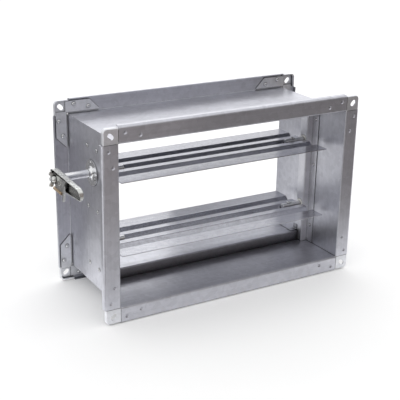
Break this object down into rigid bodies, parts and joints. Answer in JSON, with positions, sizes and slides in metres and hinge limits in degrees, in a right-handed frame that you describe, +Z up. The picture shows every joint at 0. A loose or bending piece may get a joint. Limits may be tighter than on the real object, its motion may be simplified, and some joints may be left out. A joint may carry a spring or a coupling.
{
  "type": "duct damper",
  "caption": "Rectangular galvanised duct damper with grooved turning blades, rolled flanges with slotted corner pieces, and a hand lever on a stand-off at the left.",
  "frame": {"origin": "centre of the front opening, in the plane of the front flange faces", "axes": "+X to the right seen from the front, +Y along the duct to the rear, +Z up"},
  "size_m": [0.6205, 0.23, 0.381],
  "materials": {
    "galvanised_casing": "galvanised sheet with a fine spangle",
    "galvanised_corner": "galvanised pressing",
    "galvanised_inside": "galvanised sheet",
    "galvanised_blade": "galvanised sheet, brushed along the blade",
    "zinc_lever": "zinc-plated pressing",
    "zinc_hardware": "zinc-plated",
    "rivet_aluminium": "plain",
    "bush_nylon": "moulded",
    "peg_brass": "dull"
  },
  "bodies": {
    "casing": {"casing_bottom": "galvanised_casing", "casing_left": "galvanised_casing", "casing_right": "galvanised_casing", "casing_top": "galvanised_casing", "channel_bush_lower_left": "bush_nylon", "channel_bush_lower_right": "bush_nylon", "channel_bush_upper_left": "bush_nylon", "channel_bush_upper_right": "bush_nylon", "channel_left": "galvanised_inside", "channel_right": "galvanised_inside", "channel_rivets_left": "rivet_aluminium", "channel_rivets_right": "rivet_aluminium", "corner_front_bottom_left": "galvanised_corner", "corner_front_bottom_right": "galvanised_corner", "corner_front_top_left": "galvanised_corner", "corner_front_top_right": "galvanised_corner", "corner_rear_bottom_left": "galvanised_corner", "corner_rear_bottom_right": "galvanised_corner", "corner_rear_top_left": "galvanised_corner", "corner_rear_top_right": "galvanised_corner", "stand_off_sleeve": "zinc_hardware", "stop_bottom": "galvanised_inside", "stop_clip_bottom_left": "galvanised_inside", "stop_clip_bottom_right": "galvanised_inside", "stop_clip_top_left": "galvanised_inside", "stop_clip_top_right": "galvanised_inside", "stop_top": "galvanised_inside", "wall_bush_lower": "bush_nylon", "wall_bush_upper": "bush_nylon", "wall_flange": "zinc_hardware", "wall_flange_rivets": "rivet_aluminium"},
    "upper_blade": {"hand_lever": "zinc_lever", "lever_spacer": "zinc_hardware", "lock_peg": "peg_brass", "lock_plate": "zinc_lever", "upper_blade": "galvanised_blade", "upper_blade_nuts": "zinc_hardware", "upper_blade_screws": "zinc_hardware", "upper_crank": "zinc_hardware", "upper_crank_nut": "zinc_hardware", "upper_crank_pin": "zinc_hardware", "upper_crank_washer": "zinc_hardware", "upper_pin_ring": "zinc_hardware", "upper_stub_left": "zinc_hardware", "upper_stub_right": "zinc_hardware"},
    "lower_blade": {"lower_blade": "galvanised_blade", "lower_blade_nuts": "zinc_hardware", "lower_blade_screws": "zinc_hardware", "lower_crank": "zinc_hardware", "lower_crank_nut": "zinc_hardware", "lower_crank_pin": "zinc_hardware", "lower_crank_washer": "zinc_hardware", "lower_pin_ring": "zinc_hardware", "lower_stub_left": "zinc_hardware", "lower_stub_right": "zinc_hardware"},
    "tie_rod": {"tie_rod": "zinc_hardware"},
    "wing_nut": {"wing_nut": "zinc_lever"}
  },
  "joints": [
    {"name": "upper_blade_turn", "type": "hinge", "parent": "casing", "child": "upper_blade", "pos_m": [0, 0.115, 0.072], "axis": [1, 0, 0], "range_deg": [0, 89]},
    {"name": "lower_blade_turn", "type": "hinge", "parent": "casing", "child": "lower_blade", "pos_m": [0, 0.115, -0.072], "axis": [1, 0, 0], "range_deg": [0, 89]},
    {"name": "tie_rod_turn", "type": "hinge", "parent": "upper_blade", "child": "tie_rod", "pos_m": [0.2592, 0.14353, 0.04396], "axis": [1, 0, 0], "range_deg": [-89, 0]},
    {"name": "wing_nut_turn", "type": "hinge", "parent": "upper_blade", "child": "wing_nut", "pos_m": [-0.33, 0.115, 0.072], "axis": [1, 0, 0], "continuous": true}
  ],
  "couplings": [
    {"joint": "lower_blade_turn", "follows": "upper_blade_turn", "ratio": 1},
    {"joint": "tie_rod_turn", "follows": "upper_blade_turn", "ratio": -1}
  ]
}
